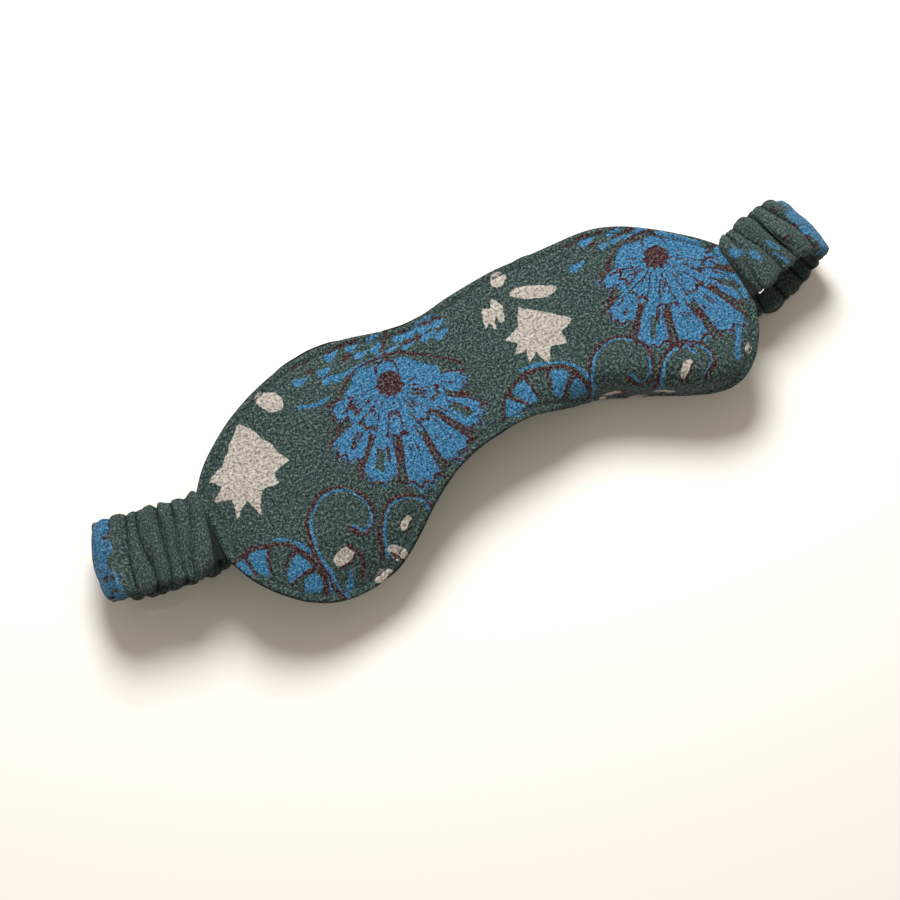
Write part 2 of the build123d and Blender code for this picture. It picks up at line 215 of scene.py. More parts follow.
# ------------------------------------------------------------------ print motifs
class Print:
    """Signed distances, in mm, of the printed colours over flat cloth points. Below 0 is inside."""
    def __init__(self, x, y):
        self.x, self.y = x, y
        self.blue = np.full(x.shape, 9.0)
        self.maroon = np.full(x.shape, 9.0)
        self.cream = np.full(x.shape, 9.0)

    def near(self, pts, pad):
        p = np.asarray(pts, float)
        lo, hi = p.min(0) - pad, p.max(0) + pad
        return np.nonzero((self.x > lo[0]) & (self.x < hi[0]) & (self.y > lo[1]) & (self.y < hi[1]))[0]

    def add(self, name, idx, d):
        a = getattr(self, name)
        a[idx] = np.minimum(a[idx], d)

    def cut(self, name, idx, d):
        a = getattr(self, name)
        a[idx] = np.maximum(a[idx], -d)

    def stroke(self, name, pts, w0, w1=None, cut=False, smooth_line=True):
        """Line whose half-width goes from w0 to w1."""
        pts = np.asarray(pts, float)
        if smooth_line and len(pts) > 2:
            pts = spline(pts)
        w1 = w0 if w1 is None else w1
        k = self.near(pts, 4 + max(w0, w1))
        if not len(k):
            return
        d, along, run = seg_dist(self.x[k], self.y[k], pts)
        d = d - (w0 + (w1 - w0) * along / max(run, 1e-9))
        (self.cut if cut else self.add)(name, k, d)

    def poly(self, name, pts, grow=0.0, cut=False):
        pts = np.asarray(pts, float)
        k = self.near(pts, 4 + abs(grow))
        if not len(k):
            return
        px, py = self.x[k], self.y[k]
        d, _, _ = seg_dist(px, py, pts, closed=True)
        inside = np.zeros(px.shape, bool)
        q = np.roll(pts, -1, 0)
        for (x0, y0), (x1, y1) in zip(pts, q):
            c = (y0 > py) != (y1 > py)
            with np.errstate(divide="ignore", invalid="ignore"):
                xi = (x1 - x0) * (py - y0) / (y1 - y0 + 1e-12) + x0
            inside ^= c & (px < xi)
        d = np.where(inside, -d, d) - grow
        (self.cut if cut else self.add)(name, k, d)

    def blob(self, name, c, ra, rb, ang=0.0, cut=False):
        t = np.linspace(0, 2 * math.pi, 22, endpoint=False)
        ca, sa = math.cos(ang), math.sin(ang)
        self.poly(name, [(c[0] + ra * math.cos(a) * ca - rb * math.sin(a) * sa, c[1] + ra * math.cos(a) * sa + rb * math.sin(a) * ca) for a in t], cut=cut)


def spline(pts, per=6):
    p = np.asarray(pts, float)
    p = np.concatenate([2 * p[:1] - p[1:2], p, 2 * p[-1:] - p[-2:-1]])
    out = []
    for i in range(1, len(p) - 2):
        for t in np.linspace(0, 1, per, endpoint=False):
            a, b, c, d = p[i - 1], p[i], p[i + 1], p[i + 2]
            out.append(0.5 * (2 * b + (c - a) * t + (2 * a - 5 * b + 4 * c - d) * t**2 + (3 * b - a - 3 * c + d) * t**3))
    out.append(p[-2])
    return np.array(out)


def flower(P, cx, cy, tilt, size, seed):
    """Fan-shaped blossom hanging from its stem: serrated outer petals, small inner petals, a dark heart."""
    r = np.random.RandomState(seed)
    dn = np.array([math.sin(tilt), -math.cos(tilt)])
    rt = np.array([-dn[1], dn[0]])
    def at(ang, rad):
        """ang is measured from the blossom's hanging direction, + towards its right."""
        v = dn * math.cos(ang) * rad + rt * math.sin(ang) * rad
        return (cx + v[0] * size, cy + v[1] * size)
    angs = [-1.22, -0.70, -0.26, 0.17, 0.60, 1.02, 1.44]
    half = [0.19, 0.21, 0.185, 0.175, 0.185, 0.175, 0.17]
    reach = [25, 33, 39, 42, 41, 37, 31]
    root = 17.5
    P.poly("blue", [at(a, q) for a, q in ((-2.7, 9.5), (-2.1, 13.5), (-1.6, 16), (-1.2, 19), (-0.8, 21), (-0.4, 22), (0, 23), (0.45, 23), (0.9, 22), (1.35, 21), (1.8, 19), (2.4, 12.5), (3.1, 9.0))])
    for k, (a, h, q) in enumerate(zip(angs, half, reach)):
        q = q + r.uniform(-1.5, 1.5)
        teeth = 3
        f = np.linspace(-1, 1, 2 * teeth + 1) + np.concatenate([[0], r.uniform(-0.07, 0.07, 2 * teeth - 1), [0]])
        tip = [q * (1 - 0.06 * v * v) + (1.7 if i % 2 == 0 else -1.6) + r.uniform(-0.7, 0.7) for i, v in enumerate(f)]
        edge = [at(a + h * v, t) for v, t in zip(f, tip)]
        P.poly("blue", [at(a - h * 0.85, root), *edge, at(a + h * 0.85, root)])
        # dark line that follows the serrated tip, thicker on the points
        low = [at(a + h * v * 0.96, t - (1.9 if i % 2 == 0 else 0.85) - r.uniform(0, 0.8)) for i, (v, t) in enumerate(zip(f, tip))]
        if k != 3:
            P.poly("maroon", [at(a + h * v * 0.98, t - 0.35) for v, t in zip(f, tip)] + low[::-1])
        else:
            P.stroke("maroon", low, 0.45, 0.6, smooth_line=False)
        # sides of the petal
        for sg in (-1, 1):
            lean = r.uniform(-0.02, 0.02)
            P.stroke("maroon", [at(a + sg * h * 0.84 + lean, root + 1.5 + r.uniform(0, 3)), at(a + sg * (h * 0.95 + 0.01), q * 0.78), at(a + sg * h * 0.98, q - 0.8)], 0.30, 0.62)
        # short hatching
        for v in r.uniform(-0.6, 0.6, 3 if q > 30 else 2):
            q0 = q * (0.58 + r.uniform(-0.05, 0.10))
            P.stroke("maroon", [at(a + h * v, q0), at(a + h * v * 1.05, q0 + r.uniform(2.2, 6.2))], 0.36, 0.24, smooth_line=False)
        if k in (1, 5):
            P.blob("maroon", at(a + 0.03, q * 0.80), 0.8, 1.5, tilt + a)
        if k in (2, 5):
            P.poly("blue", [at(a - 0.03, q * 0.62), at(a - 0.06, q * 0.84), at(a + 0.035, q * 0.90), at(a + 0.05, q * 0.70)], cut=True)
    # gaps between the long petals
    for k in range(6):
        g = (angs[k] + half[k] + angs[k + 1] - half[k + 1]) / 2
        q1 = max(reach[k], reach[k + 1]) + 3
        w = 0.050 + r.uniform(0, 0.03)
        start = root + (5.5 if k in (1, 2, 4) else 9.5) + r.uniform(-1, 1)
        P.poly("blue", [at(g, start), at(g - w, q1), at(g + w, q1)], cut=True)
        P.stroke("maroon", [at(g - 0.012, start - 1.6), at(g - w * 0.62, q1 - 7)], 0.55, 0.42, smooth_line=False)
        P.stroke("maroon", [at(g + 0.012, start - 1.6), at(g + w * 0.55, q1 - 8)], 0.45, 0.36, smooth_line=False)
    # small inner petals: open outlines with a toothed foot
    for a, h, q0, q1 in ((-1.18, 0.24, 9.5, 16.0), (-0.56, 0.19, 9.8, 19.0), (0.02, 0.17, 10.5, 21.0), (0.58, 0.20, 10.0, 19.5), (1.12, 0.17, 10.0, 18.0)):
        a += r.uniform(-0.05, 0.05)
        P.stroke("maroon", [at(a - h * 0.6, q0), at(a - h, q1)], 0.26, 0.36, smooth_line=False)
        P.stroke("maroon", [at(a + h * 0.6, q0), at(a + h, q1)], 0.26, 0.36, smooth_line=False)
        foot = [at(a - h, q1)] + [at(a + h * v, q1 + (0.9 if i % 2 else -0.9)) for i, v in enumerate((-0.5, 0.0, 0.5))] + [at(a + h, q1 + 0.4)]
        P.stroke("maroon", foot, 0.42, 0.62, smooth_line=False)
        for f in (-0.3, 0.25):
            P.stroke("maroon", [at(a + h * f, q0 + r.uniform(0, 1)), at(a + h * f, q0 + r.uniform(3, 5.2))], 0.25, smooth_line=False)
    for i in range(16):
        a = -1.9 + i * 0.24 + r.uniform(-0.05, 0.05)
        P.stroke("maroon", [at(a, 7.4), at(a, 8.8 + r.uniform(0, 2.2))], 0.24, smooth_line=False)
    # heart with ragged points and three light drops above
    ring = []
    for i in range(22):
        a = i / 22 * 2 * math.pi
        ring.append(at(a, 5.0 + (1.15 if i % 2 else -0.9) * (1 if math.cos(a) > -0.35 else 0.15) + r.uniform(-0.3, 0.3)))
    P.poly("maroon", ring)
    P.stroke("maroon", [at(-2.3, 4.4), at(-2.7, 8.6), at(3.14, 9.6), at(2.7, 8.4), at(2.3, 4.4)], 0.5)
    for a, q in ((2.62, 6.0), (3.14, 6.6), (-2.62, 6.0)):
        P.blob("maroon", at(a, q), 0.75 * size, 1.7 * size, tilt + (3.14 - a) * 0.5, cut=True)
        P.blob("blue", at(a, q), 0.75 * size, 1.7 * size, tilt + (3.14 - a) * 0.5)
    # outline over the top and down both sides
    P.stroke("maroon", [at(-1.28, 23.5), at(-1.52, 19.0), at(-1.95, 15.4), at(-2.5, 12.6), at(3.14, 11.6), at(2.55, 13.6), at(2.1, 18.2), at(1.86, 23.5), at(1.70, 28.5)], 0.50, 0.62)
    P.stroke("maroon", [at(3.14, 11.6), at(3.10, 17), at(3.02, 25)], 0.8, 0.6)
    return at


def scroll(P, pts, w=2.0, line=0.62, off=(0.8, -0.5)):
    """Curled tendril: one dark line, with a pale blue line printed a little beside it."""
    s = spline(pts)
    nrm = np.gradient(s, axis=0)
    nrm = np.stack([-nrm[:, 1], nrm[:, 0]], 1) / (np.linalg.norm(nrm, axis=1, keepdims=True) + 1e-9)
    P.stroke("blue", s - nrm * w * 0.72 + np.array(off) * 0.3, w * 0.42, w * 0.30, smooth_line=False)
    k = P.near(s, 5 + w)
    if len(k):
        d, along, run = seg_dist(P.x[k], P.y[k], s)
        P.add("maroon", k, d - line * (0.95 + 0.35 * np.sin(along * 0.33)))


def leaf(P, pts, shift=(0, 0)):
    P.poly("cream", np.asarray(pts, float) + np.array(shift))


def fan(P, cx, cy, r, a0, a1, spokes=5):
    """Half-round leaf with a few curved ribs, blue between some of them."""
    q = lambda t, k: (cx + r * k * math.cos(t), cy + r * k * math.sin(t))
    ts = np.linspace(a0, a1, spokes + 2)
    for i in range(spokes + 1):
        if i % 3 == 2:
            continue
        t0, t1 = ts[i] + 0.05, ts[i + 1] - 0.04
        k0 = 0.42 if i % 2 else 0.60
        P.poly("blue", [q(t0, k0), q(t0, 0.92), q((t0 + t1) / 2, 0.95), q(t1, 0.92), q(t1, k0 + 0.08)])
    P.stroke("maroon", [q(t, 1.0) for t in np.linspace(a0, a1, 12)], 0.85, 0.6)
    P.stroke("blue", [q(t, 1.11) for t in np.linspace(a0, a0 + 0.6 * (a1 - a0), 8)], 0.8, 0.5)
    for i, t in enumerate(ts[1:-1]):
        P.stroke("maroon", [q(t, 1.0), q(t + 0.06, 0.75), q(t - 0.03, 0.42 + 0.12 * (i % 2))], 0.75, 0.4)
        P.blob("maroon", q(t, 0.96), 1.5, 1.0, t)


def front_print(x, y):
    P = Print(x + 0.55 * vnoise(x, y, 201, 6.5) + 0.22 * vnoise(x, y, 203, 2.4), y + 0.55 * vnoise(x, y, 205, 6.5) + 0.22 * vnoise(x, y, 207, 2.4))
    # trailing sprays along the forehead edge
    for cx, cy in ((-26.5, 37.0), (81.5, 33.5)):
        r = np.random.RandomState(int(abs(cx)) + 3)
        for side in (-1, 1):
            for row in range(3):
                for k in range(6):
                    px = cx + side * (3.5 + 4.6 * k + r.uniform(-0.7, 0.7))
                    py = cy + 2.6 - row * 4.3 - 0.045 * (4.6 * k) ** 1.25 * side * (0.25 if side < 0 else 1.0) + r.uniform(-0.5, 0.5)
                    ang = -0.22 * side + r.uniform(-0.3, 0.3)
                    if r.uniform() < (0.8, 0.6, 0.3)[row]:
                        P.stroke("maroon", [(px - 1.1, py - 1.1 * math.tan(ang)), (px + 1.1, py + 1.1 * math.tan(ang))], 0.72, smooth_line=False)
                    if r.uniform() < (0.62 if k < 3 else 0.25):
                        P.stroke("blue", [(px - 2.2, py - 1.9), (px + 2.0, py - 1.2 + r.uniform(-0.5, 0.8))], 1.0 + r.uniform(0, 0.8), 0.5, smooth_line=False)
    flower(P, -26.4, 18.2, -0.30, 0.96, 3)
    flower(P, 82.0, 17.6, -0.30, 0.96, 11)
    P.stroke("blue", [(-58, 25.5), (-52, 23.6), (-47, 24.0)], 0.9, 0.5)
    P.stroke("blue", [(-12, 32.0), (-5, 34.4), (1, 34.8)], 1.2, 0.6)
    # cream cut leaves
    L = [(-80.5, 29.7), (-76.6, 23.6), (-73.2, 17.0), (-70.6, 8.6), (-77.3, 7.2), (-77.4, 2.6), (-83.6, 3.0), (-88.4, -5.2),
         (-90.4, 1.6), (-96.2, -2.6), (-94.6, 4.6), (-100.2, 6.6), (-95.4, 10.6), (-98.8, 14.6), (-91.6, 18.0), (-86.0, 24.4)]
    leaf(P, L)
    R = [(29.0, 25.8), (33.0, 20.9), (38.4, 17.0), (43.2, 11.6), (37.6, 9.6), (37.4, 4.4), (31.6, 6.4), (28.6, 0.6), (26.2, 6.8),
         (22.2, 3.8), (23.2, 9.0), (18.4, 9.2), (22.4, 13.0), (18.9, 16.2), (25.2, 18.4)]
    leaf(P, R, (-0.6, -2.2))
    P.blob("cream", (-66.9, 32.4), 5.4, 3.6, 2.2)
    P.blob("cream", (36.0, 26.0), 8.6, 2.7, -0.36)
    P.blob("cream", (27.1, 36.6), 3.1, 3.0)
    P.poly("cream", [(14.2, 21.6), (16.2, 28.4), (19.0, 26.8), (21.6, 30.4), (23.4, 26.4), (21.6, 20.4), (20.0, 19.6), (19.2, 24.0), (17.0, 18.6), (16.0, 22.8)])
    # tendrils on the cheek side: a large curl, then a second one
    for ox, oy in ((0.0, 0.0), (114.0, 4.2)):
        scroll(P, [(-74.5 + ox, -47 + oy), (-77.0 + ox, -36 + oy), (-78.0 + ox, -24 + oy), (-75.4 + ox, -14.4 + oy), (-67.6 + ox, -8.2 + oy),
                   (-58.6 + ox, -9.0 + oy), (-53.4 + ox, -16.0 + oy), (-54.4 + ox, -24.0 + oy), (-59.6 + ox, -26.6 + oy), (-62.8 + ox, -23.0 + oy)], 1.5, 0.7)
        scroll(P, [(-56.5 + ox, -37 + oy), (-54.6 + ox, -28.6 + oy), (-49.4 + ox, -22.0 + oy), (-41.6 + ox, -20.6 + oy), (-35.0 + ox, -24.6 + oy),
                   (-34.0 + ox, -31.5 + oy), (-39.0 + ox, -34.5 + oy)], 1.5, 0.7)
        for c, ra, rb, an in (((-69.0, -30.4), 4.6, 2.4, 0.3), ((-51.4, -37.6), 4.4, 2.3, -0.9), ((-59.8, -42.4), 3.6, 2.2, 0.2), ((-44.5, -29.5), 2.6, 1.6, 0.4)):
            P.blob("cream", (c[0] + ox, c[1] + oy), ra, rb, an)
            P.stroke("maroon", [(c[0] + ox - ra * 0.9 * math.cos(an), c[1] + oy - ra * 0.9 * math.sin(an) - rb * 0.8),
                                (c[0] + ox, c[1] + oy - rb * 1.15), (c[0] + ox + ra * 0.9 * math.cos(an), c[1] + oy + ra * 0.9 * math.sin(an) - rb * 0.6)], 0.5)
        P.stroke("maroon", [(-66.5 + ox, -40 + oy), (-64.0 + ox, -33.5 + oy), (-66.0 + ox, -27.5 + oy)], 0.5, 0.9)
        P.stroke("blue", [(-72.0 + ox, -41 + oy), (-69.5 + ox, -36 + oy)], 1.4, 0.6)
    fan(P, 19.5, -19.0, 17.5, 0.10, 2.75, 4)
    fan(P, -97.5, -33.5, 18.5, -0.35, 2.2, 4)
    P.stroke("blue", [(88, -30), (93.5, -22), (96, -12)], 1.1, 0.7)
    P.blob("cream", (93.6, -28.6), 2.0, 1.3, 0.9)
    for q in ((98.5, -6), (99.0, 6.0)):
        P.blob("blue", q, 1.6, 0.9, 0.5)
    P.maroon = P.maroon + 0.20 * vnoise(x, y, 211, 1.9)
    P.blue = P.blue + 0.30 * vnoise(x, y, 213, 2.6)
    P.cream = P.cream + 0.30 * vnoise(x, y, 217, 2.2)
    # the cream leaves stay clear of the line work
    P.maroon = np.maximum(P.maroon, np.where((P.y > 0) & (P.cream < 3), -(P.cream - 0.15), -99))
    return P


def strap_print(s, c):
    """The same cloth gathered on the strap: s is along the cloth, c across it, in flat mm."""
    P = Print(s + 1.6 * vnoise(s, c, 301, 6.0) + 0.5 * vnoise(s, c, 303, 2.2), c + 1.6 * vnoise(s, c, 305, 6.0) + 0.5 * vnoise(s, c, 307, 2.2))
    r = np.random.RandomState(23)
    for k in range(24):
        cs, cc = 38 + k * 27 + r.uniform(-8, 8), r.uniform(-10, 10) + (40 if k % 3 == 0 else 0)
        P.blob("blue", (cs, cc), r.uniform(4, 8), r.uniform(1.5, 3.2), r.uniform(0, 3.1))
        P.blob("blue", (cs + r.uniform(-6, 6), cc - 6), r.uniform(2, 6), r.uniform(1.0, 1.8), r.uniform(0, 3.1))
    for k in range(16):
        cs, cc = r.uniform(60, 640), r.uniform(-12, 12) + (40 if k % 2 == 0 else 0)
        for i in range(3):
            P.blob("maroon", (cs + 4.5 * i, cc + 1.5 * i * (k % 3 - 1)), 1.3, 0.8, 0.4)
    return P


# ------------------------------------------------------------------ camera, light, floor
def stage():
    sc = bpy.context.scene
    target = np.array([DX - 18.98, DY - 13.96, 27.0]) * MM
    dist, el = 0.7625, math.radians(67.76)
    fwd = np.array([0.4666, 0.8845, 0.0])
    fwd /= np.linalg.norm(fwd)
    pos = target - fwd * dist * math.cos(el) + np.array([0, 0, dist * math.sin(el)])
    cam = bpy.data.cameras.new("camera")
    cam.lens, cam.sensor_width = 36.0 * dist / 0.3149, 36.0
    cam.clip_start, cam.clip_end = 0.01, 100
    ob = bpy.data.objects.new("camera", cam)
    sc.collection.objects.link(ob)
    ob.location = pos
    from mathutils import Vector
    ob.rotation_euler = Vector(target - pos).to_track_quat("-Z", "Y").to_euler()
    sc.camera = ob
    # floor
    me = bpy.data.meshes.new("floor")
    R = 12.0
    me.from_pydata([(-R, -R, 0), (R, -R, 0), (R, R, 0), (-R, R, 0)], [], [(0, 1, 2, 3)])
    fl = bpy.data.objects.new("floor", me)
    sc.collection.objects.link(fl)
    m = bpy.data.materials.new("floor_paper")
    m.use_nodes = True
    b = m.node_tree.nodes["Principled BSDF"]
    b.inputs["Base Color"].default_value = (0.80, 0.785, 0.755, 1)
    b.inputs["Roughness"].default_value = 0.85
    b.inputs["Specular IOR Level"].default_value = 0.15
    me.materials.append(m)
    fl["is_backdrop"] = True
    # soft key from beyond the forehead edge
    def area(name, loc, size, power, color, to):
        la = bpy.data.lights.new(name, "AREA")
        la.shape, la.size, la.energy, la.color = "DISK", size, power, color
        o = bpy.data.objects.new(name, la)
        sc.collection.objects.link(o)
        o.location = loc
        o.rotation_euler = (Vector(to) - Vector(loc)).to_track_quat("-Z", "Y").to_euler()
    area("key", (0.13, 0.42, 0.62), 0.40, 8.4, (0.985, 0.985, 0.985), (0.0, 0.0, 0.0))
    area("fill", (-0.6, -0.8, 1.1), 1.4, 2.0, (1.0, 0.92, 0.82), (0, 0, 0))
    sc.view_settings.view_transform = "Standard"
    w = bpy.data.worlds.new("studio")
    sc.world = w
    w.use_nodes = True
    nt = w.node_tree
    bg = nt.nodes["Background"]
    bg.inputs["Color"].default_value = (1.0, 0.87, 0.74, 1)
    bg.inputs["Strength"].default_value = 0.42
    bg2 = nt.nodes.new("ShaderNodeBackground")
    bg2.inputs["Color"].default_value = (1.0, 0.985, 0.96, 1)
    bg2.inputs["Strength"].default_value = 0.95
    lp = nt.nodes.new("ShaderNodeLightPath")
    mix = nt.nodes.new("ShaderNodeMixShader")
    nt.links.new(lp.outputs["Is Camera Ray"], mix.inputs[0])
    nt.links.new(bg.outputs[0], mix.inputs[1])
    nt.links.new(bg2.outputs[0], mix.inputs[2])
    nt.links.new(mix.outputs[0], nt.nodes["World Output"].inputs["Surface"])


stage()

# ------------------------------------------------------------------ materials
def nodes_of(name):
    m = bpy.data.materials.new(name)
    m.use_nodes = True
    nt = m.node_tree
    return m, nt, nt.nodes, nt.links, nt.nodes["Principled BSDF"]


def attr(nt, name):
    n = nt.nodes.new("ShaderNodeAttribute")
    n.attribute_name = name
    return n


def math_node(nt, op, a, b=None, c=None):
    n = nt.nodes.new("ShaderNodeMath")
    n.operation = op
    for i, v in enumerate((a, b, c)):
        if v is None:
            continue
        if isinstance(v, (int, float)):
            n.inputs[i].default_value = v
        else:
            nt.links.new(v, n.inputs[i])
    return n.outputs[0]


def noise(nt, vec, scale, detail=3.0, rough=0.55, dist=0.0):
    n = nt.nodes.new("ShaderNodeTexNoise")
    n.inputs["Scale"].default_value = scale
    n.inputs["Detail"].default_value = detail
    n.inputs["Roughness"].default_value = rough
    n.inputs["Distortion"].default_value = dist
    nt.links.new(vec, n.inputs["Vector"])
    return n.outputs["Fac"]


def ramp(nt, fac, lo, hi, a=0.0, b=1.0):
    n = nt.nodes.new("ShaderNodeMapRange")
    n.interpolation_type = "SMOOTHSTEP"
    n.inputs["From Min"].default_value = lo
    n.inputs["From Max"].default_value = hi
    n.inputs["To Min"].default_value = a
    n.inputs["To Max"].default_value = b
    nt.links.new(fac, n.inputs["Value"])
    return n.outputs["Result"]


def mix_col(nt, fac, a, b):
    n = nt.nodes.new("ShaderNodeMix")
    n.data_type = "RGBA"
    for v, k in ((fac, 0), (a, 6), (b, 7)):
        if isinstance(v, tuple):
            n.inputs[k].default_value = (*v, 1)
        elif isinstance(v, float):
            n.inputs[k].default_value = v
        else:
            nt.links.new(v, n.inputs[k])
    return n.outputs[2]


def weave(nt, vec, pitch):
    """Plain weave: over-and-under threads, height 0..1."""
    sep = nt.nodes.new("ShaderNodeSeparateXYZ")
    nt.links.new(vec, sep.inputs[0])
    k = 2 * math.pi / pitch
    wob = noise(nt, vec, 0.35, 2.0)
    u = math_node(nt, "ADD", math_node(nt, "MULTIPLY", sep.outputs[0], k), math_node(nt, "MULTIPLY", wob, 5.0))
    v = math_node(nt, "ADD", math_node(nt, "MULTIPLY", sep.outputs[1], k), math_node(nt, "MULTIPLY", wob, 4.0))
    su, sv = math_node(nt, "SINE", u), math_node(nt, "SINE", v)
    half = math_node(nt, "SINE", math_node(nt, "MULTIPLY", math_node(nt, "ADD", u, v), 0.5))
    return math_node(nt, "ADD", math_node(nt, "MULTIPLY", math_node(nt, "ADD", su, sv), 0.2), math_node(nt, "MULTIPLY", math_node(nt, "MULTIPLY", half, math_node(nt, "MULTIPLY", su, sv)), 0.2))


def cloth_bump(nt, vec, bsdf, pitch=0.46, strength=0.5, extra=None):
    h = math_node(nt, "MULTIPLY", weave(nt, vec, pitch), 0.55)
    slub = noise(nt, vec, 1.4, 4.0, 0.7)
    crepe = noise(nt, vec, 0.62, 3.0, 0.6, 0.8)
    h = math_node(nt, "ADD", h, math_node(nt, "ADD", math_node(nt, "MULTIPLY", slub, 2.0), math_node(nt, "MULTIPLY", crepe, 2.6)))
    if extra is not None:
        h = math_node(nt, "ADD", h, extra)
    b = nt.nodes.new("ShaderNodeBump")
    b.inputs["Strength"].default_value = strength
    b.inputs["Distance"].default_value = 0.00026
    nt.links.new(h, b.inputs["Height"])
    nt.links.new(b.outputs[0], bsdf.inputs["Normal"])


def printed_cotton():
    m, nt, N, Lk, B = nodes_of("printed_cotton")
    vec = attr(nt, "flat").outputs["Vector"]
    edge = noise(nt, vec, 1.25, 4.0, 0.65)
    fine = noise(nt, vec, 3.2, 3.0, 0.6)
    rough = math_node(nt, "ADD", math_node(nt, "MULTIPLY", math_node(nt, "SUBTRACT", edge, 0.5), 1.15), math_node(nt, "MULTIPLY", math_node(nt, "SUBTRACT", fine, 0.5), 0.35))
    def cover(name, lo=-0.13, hi=0.13):
        return ramp(nt, math_node(nt, "ADD", attr(nt, name).outputs["Fac"], rough), lo, hi, 1.0, 0.0)
    blue, maroon, cream = cover("sd_blue"), cover("sd_maroon"), cover("sd_cream")
    big = noise(nt, vec, 0.055, 4.0, 0.6)
    mid = noise(nt, vec, 0.35, 4.0, 0.7)
    grain = noise(nt, vec, 2.1, 3.0, 0.7)
    speck = ramp(nt, noise(nt, vec, 1.7, 2.0, 0.6), 0.40, 0.66)
    g = mix_col(nt, ramp(nt, big, 0.30, 0.72), (0.0120, 0.0355, 0.0320), (0.0260, 0.0590, 0.0540))
    g = mix_col(nt, ramp(nt, mid, 0.35, 0.75, 0.0, 0.55), g, (0.0150, 0.0420, 0.0370))
    g = mix_col(nt, ramp(nt, grain, 0.35, 0.75, 0.0, 0.75), g, (0.0460, 0.0860, 0.0790))
    b = mix_col(nt, ramp(nt, mid, 0.30, 0.72), (0.0150, 0.1200, 0.2800), (0.0270, 0.1950, 0.4000))
    b = mix_col(nt, ramp(nt, grain, 0.38, 0.75, 0.0, 0.7), b, (0.0650, 0.3000, 0.5200))
    b = mix_col(nt, math_node(nt, "MULTIPLY", speck, 0.22), b, (0.012, 0.048, 0.090))
    r = mix_col(nt, ramp(nt, grain, 0.30, 0.75), (0.024, 0.0040, 0.0070), (0.062, 0.0100, 0.0140))
    c = mix_col(nt, ramp(nt, mid, 0.30, 0.75), (0.52, 0.46, 0.41), (0.66, 0.60, 0.54))
    c = mix_col(nt, ramp(nt, grain, 0.34, 0.70, 0.0, 0.55), c, (0.36, 0.31, 0.27))
    col = mix_col(nt, blue, g, b)
    col = mix_col(nt, cream, col, c)
    col = mix_col(nt, maroon, col, r)
    # uneven take-up of the dye, thread by thread, as darker flecks; the pale flecks are painted thread highlights
    dye_fleck_and_glint = noise(nt, vec, 1.05, 4.0, 0.85)
    mul = nt.nodes.new("ShaderNodeMix")
    mul.data_type, mul.blend_type = "RGBA", "MULTIPLY"
    Lk.new(ramp(nt, dye_fleck_and_glint, 0.41, 0.55, 1.0, 0.0), mul.inputs[0])
    Lk.new(col, mul.inputs[6])
    mul.inputs[7].default_value = (0.26, 0.30, 0.32, 1)
    # painted thread highlights: pale flecks mixed in where the noise is high
    col = mix_col(nt, ramp(nt, dye_fleck_and_glint, 0.50, 0.62, 0.0, 0.24), mul.outputs[2], (0.52, 0.58, 0.57))
    # painted light and shade: the crests of the cloth go a little paler (painted highlight, partly rubbed wear), the
    # rim and the valleys darker (painted shade)
    wear = attr(nt, "wear").outputs["Fac"]
    col = mix_col(nt, math_node(nt, "MULTIPLY", ramp(nt, wear, 0.15, 1.0), 0.14), col, (0.13, 0.17, 0.155))
    # painted shade: near-black is mixed in where the value is below 0, at the rim, in the stitch groove and in the fold
    # valleys
    shade = ramp(nt, wear, -1.0, 0.0, 0.90, 0.0)
    col = mix_col(nt, shade, col, (0.006, 0.011, 0.010))
    Lk.new(col, B.inputs["Base Color"])
    B.inputs["Roughness"].default_value = 0.84
    B.inputs["Specular IOR Level"].default_value = 0.14
    B.inputs["Sheen Weight"].default_value = 0.04
    B.inputs["Sheen Roughness"].default_value = 0.45
    cloth_bump(nt, vec, B, 0.46, 0.9, math_node(nt, "MULTIPLY", maroon, 0.35))
    return m


def plain_cloth(name, dark, light, pitch=0.5, sheen=0.08, coord="flat", scale=1.0, rough=0.88):
    m, nt, N, Lk, B = nodes_of(name)
    if coord == "flat":
        vec = attr(nt, "flat").outputs["Vector"]
    else:
        tc = nt.nodes.new("ShaderNodeTexCoord")
        mp = nt.nodes.new("ShaderNodeMapping")
        mp.inputs["Scale"].default_value = (1000, 1000, 1000)
        Lk.new(tc.outputs["Object"], mp.inputs["Vector"])
        vec = mp.outputs["Vector"]
    mid = noise(nt, vec, 0.12 * scale, 4.0, 0.65)
    grain = noise(nt, vec, 2.2 * scale, 3.0, 0.7)
    col = mix_col(nt, ramp(nt, mid, 0.3, 0.72), dark, light)
    col = mix_col(nt, ramp(nt, grain, 0.35, 0.75, 0.0, 0.5), col, tuple(min(1, 1.5 * v) for v in light))
    Lk.new(col, B.inputs["Base Color"])
    B.inputs["Roughness"].default_value = rough
    B.inputs["Specular IOR Level"].default_value = 0.22
    B.inputs["Sheen Weight"].default_value = sheen
    cloth_bump(nt, vec, B, pitch, 0.6)
    return m


def thread_material():
    m, nt, N, Lk, B = nodes_of("thread")
    tc = nt.nodes.new("ShaderNodeTexCoord")
    mp = nt.nodes.new("ShaderNodeMapping")
    mp.inputs["Scale"].default_value = (1000, 1000, 1000)
    Lk.new(tc.outputs["Object"], mp.inputs["Vector"])
    wv = nt.nodes.new("ShaderNodeTexWave")
    wv.bands_direction = "DIAGONAL"
    wv.inputs["Scale"].default_value = 1.4
    Lk.new(mp.outputs["Vector"], wv.inputs["Vector"])
    col = mix_col(nt, wv.outputs["Fac"], (0.008, 0.014, 0.013), (0.030, 0.050, 0.045))
    Lk.new(col, B.inputs["Base Color"])
    B.inputs["Roughness"].default_value = 0.55
    bp = nt.nodes.new("ShaderNodeBump")
    bp.inputs["Strength"].default_value = 0.5
    bp.inputs["Distance"].default_value = 0.00005
    Lk.new(wv.outputs["Fac"], bp.inputs["Height"])
    Lk.new(bp.outputs[0], B.inputs["Normal"])
    return m


